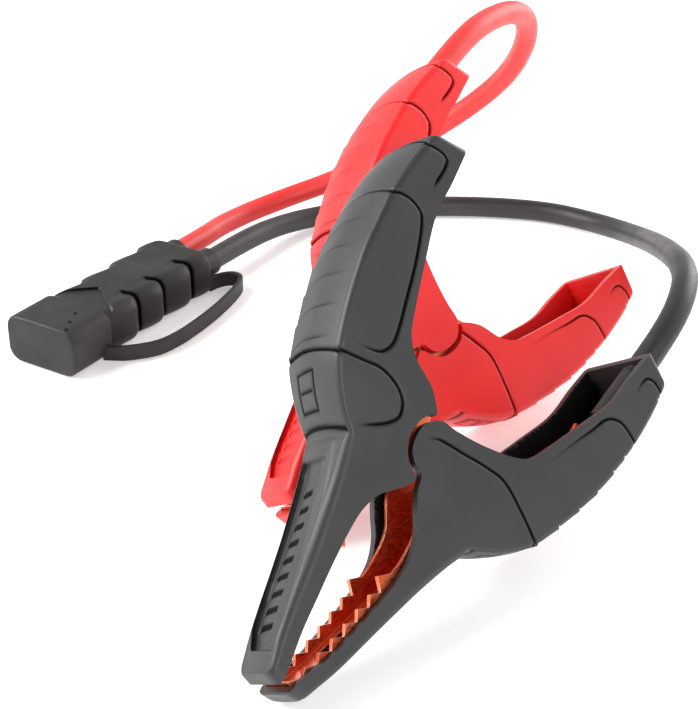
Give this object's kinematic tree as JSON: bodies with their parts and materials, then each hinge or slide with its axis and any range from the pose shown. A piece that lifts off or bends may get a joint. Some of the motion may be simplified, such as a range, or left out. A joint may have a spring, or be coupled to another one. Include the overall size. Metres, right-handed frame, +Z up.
{
  "type": "jump lead clamp set",
  "caption": "Jump starter lead set: sprung battery clamps with copper jaws, thick leads and a capped plug.",
  "frame": {"origin": "bottom centre of the clamps and plug where they lie, leads left out, on the surface they lie on", "axes": "+Z up; -Y is the way the plug's cap comes off, and the clamps' tips lie towards -Y with their handles towards +Y"},
  "size_m": [0.2338, 0.3332, 0.1174],
  "materials": {
    "black_plastic": "fine satin moulding texture",
    "red_plastic": "fine satin moulding texture",
    "copper": "copper plated sheet and bare copper strands",
    "rivet_steel": "zinc plated",
    "spring_steel": "oiled spring wire",
    "bush_plastic": "moulded nylon",
    "black_jacket": "soft satin cable jacket",
    "red_jacket": "soft satin cable jacket",
    "boot_rubber": "matt moulded rubber",
    "housing_plastic": "moulded nylon",
    "contact_brass": "plated turned contact"
  },
  "bodies": {
    "root": {"black_lead_handle_cover": "black_plastic", "black_lead_jaw": "copper", "black_pivot_rivet": "rivet_steel", "black_spring_bush": "bush_plastic", "black_torsion_spring": "spring_steel", "black_conductor": "copper", "black_jacket_end": "black_jacket", "black_lead": "black_jacket", "black_lead_in_boot": "black_jacket", "black_lead_sleeve": "boot_rubber", "red_lead_handle_cover": "red_plastic", "red_lead_jaw": "copper", "red_pivot_rivet": "rivet_steel", "red_spring_bush": "bush_plastic", "red_torsion_spring": "spring_steel", "red_conductor": "copper", "red_jacket_end": "red_jacket", "red_lead": "red_jacket", "red_lead_in_boot": "red_jacket", "red_lead_sleeve": "boot_rubber", "plug_housing": "housing_plastic", "negative_contact": "contact_brass", "positive_contact": "contact_brass", "plug_boot": "boot_rubber", "cap_tether": "boot_rubber", "positive_strands": "copper", "negative_strands": "copper"},
    "black_free_half": {"black_free_handle_cover": "black_plastic", "black_free_jaw": "copper"},
    "red_free_half": {"red_free_handle_cover": "red_plastic", "red_free_jaw": "copper"},
    "dust_cap": {"dust_cap": "boot_rubber"}
  },
  "joints": [
    {"name": "black_clamp_pivot", "type": "hinge", "parent": "root", "child": "black_free_half", "pos_m": [0.07281, -0.03952, 0.04031], "axis": [-0.808, 0.2368, -0.5395], "range_deg": [0, 38], "stiffness_Nm_per_rad": 1.6, "springref_deg": -63.03, "deforming": ["black_torsion_spring"]},
    {"name": "red_clamp_pivot", "type": "hinge", "parent": "root", "child": "red_free_half", "pos_m": [0.03466, 0.02726, 0.03939], "axis": [0.8169, -0.2142, 0.5356], "range_deg": [0, 38], "stiffness_Nm_per_rad": 1.6, "springref_deg": -63.03, "deforming": ["red_torsion_spring"]},
    {"name": "dust_cap_pull", "type": "slide", "parent": "root", "child": "dust_cap", "axis": [0, -1, 0], "range_m": [0, 0.03], "deforming": ["cap_tether"]}
  ]
}
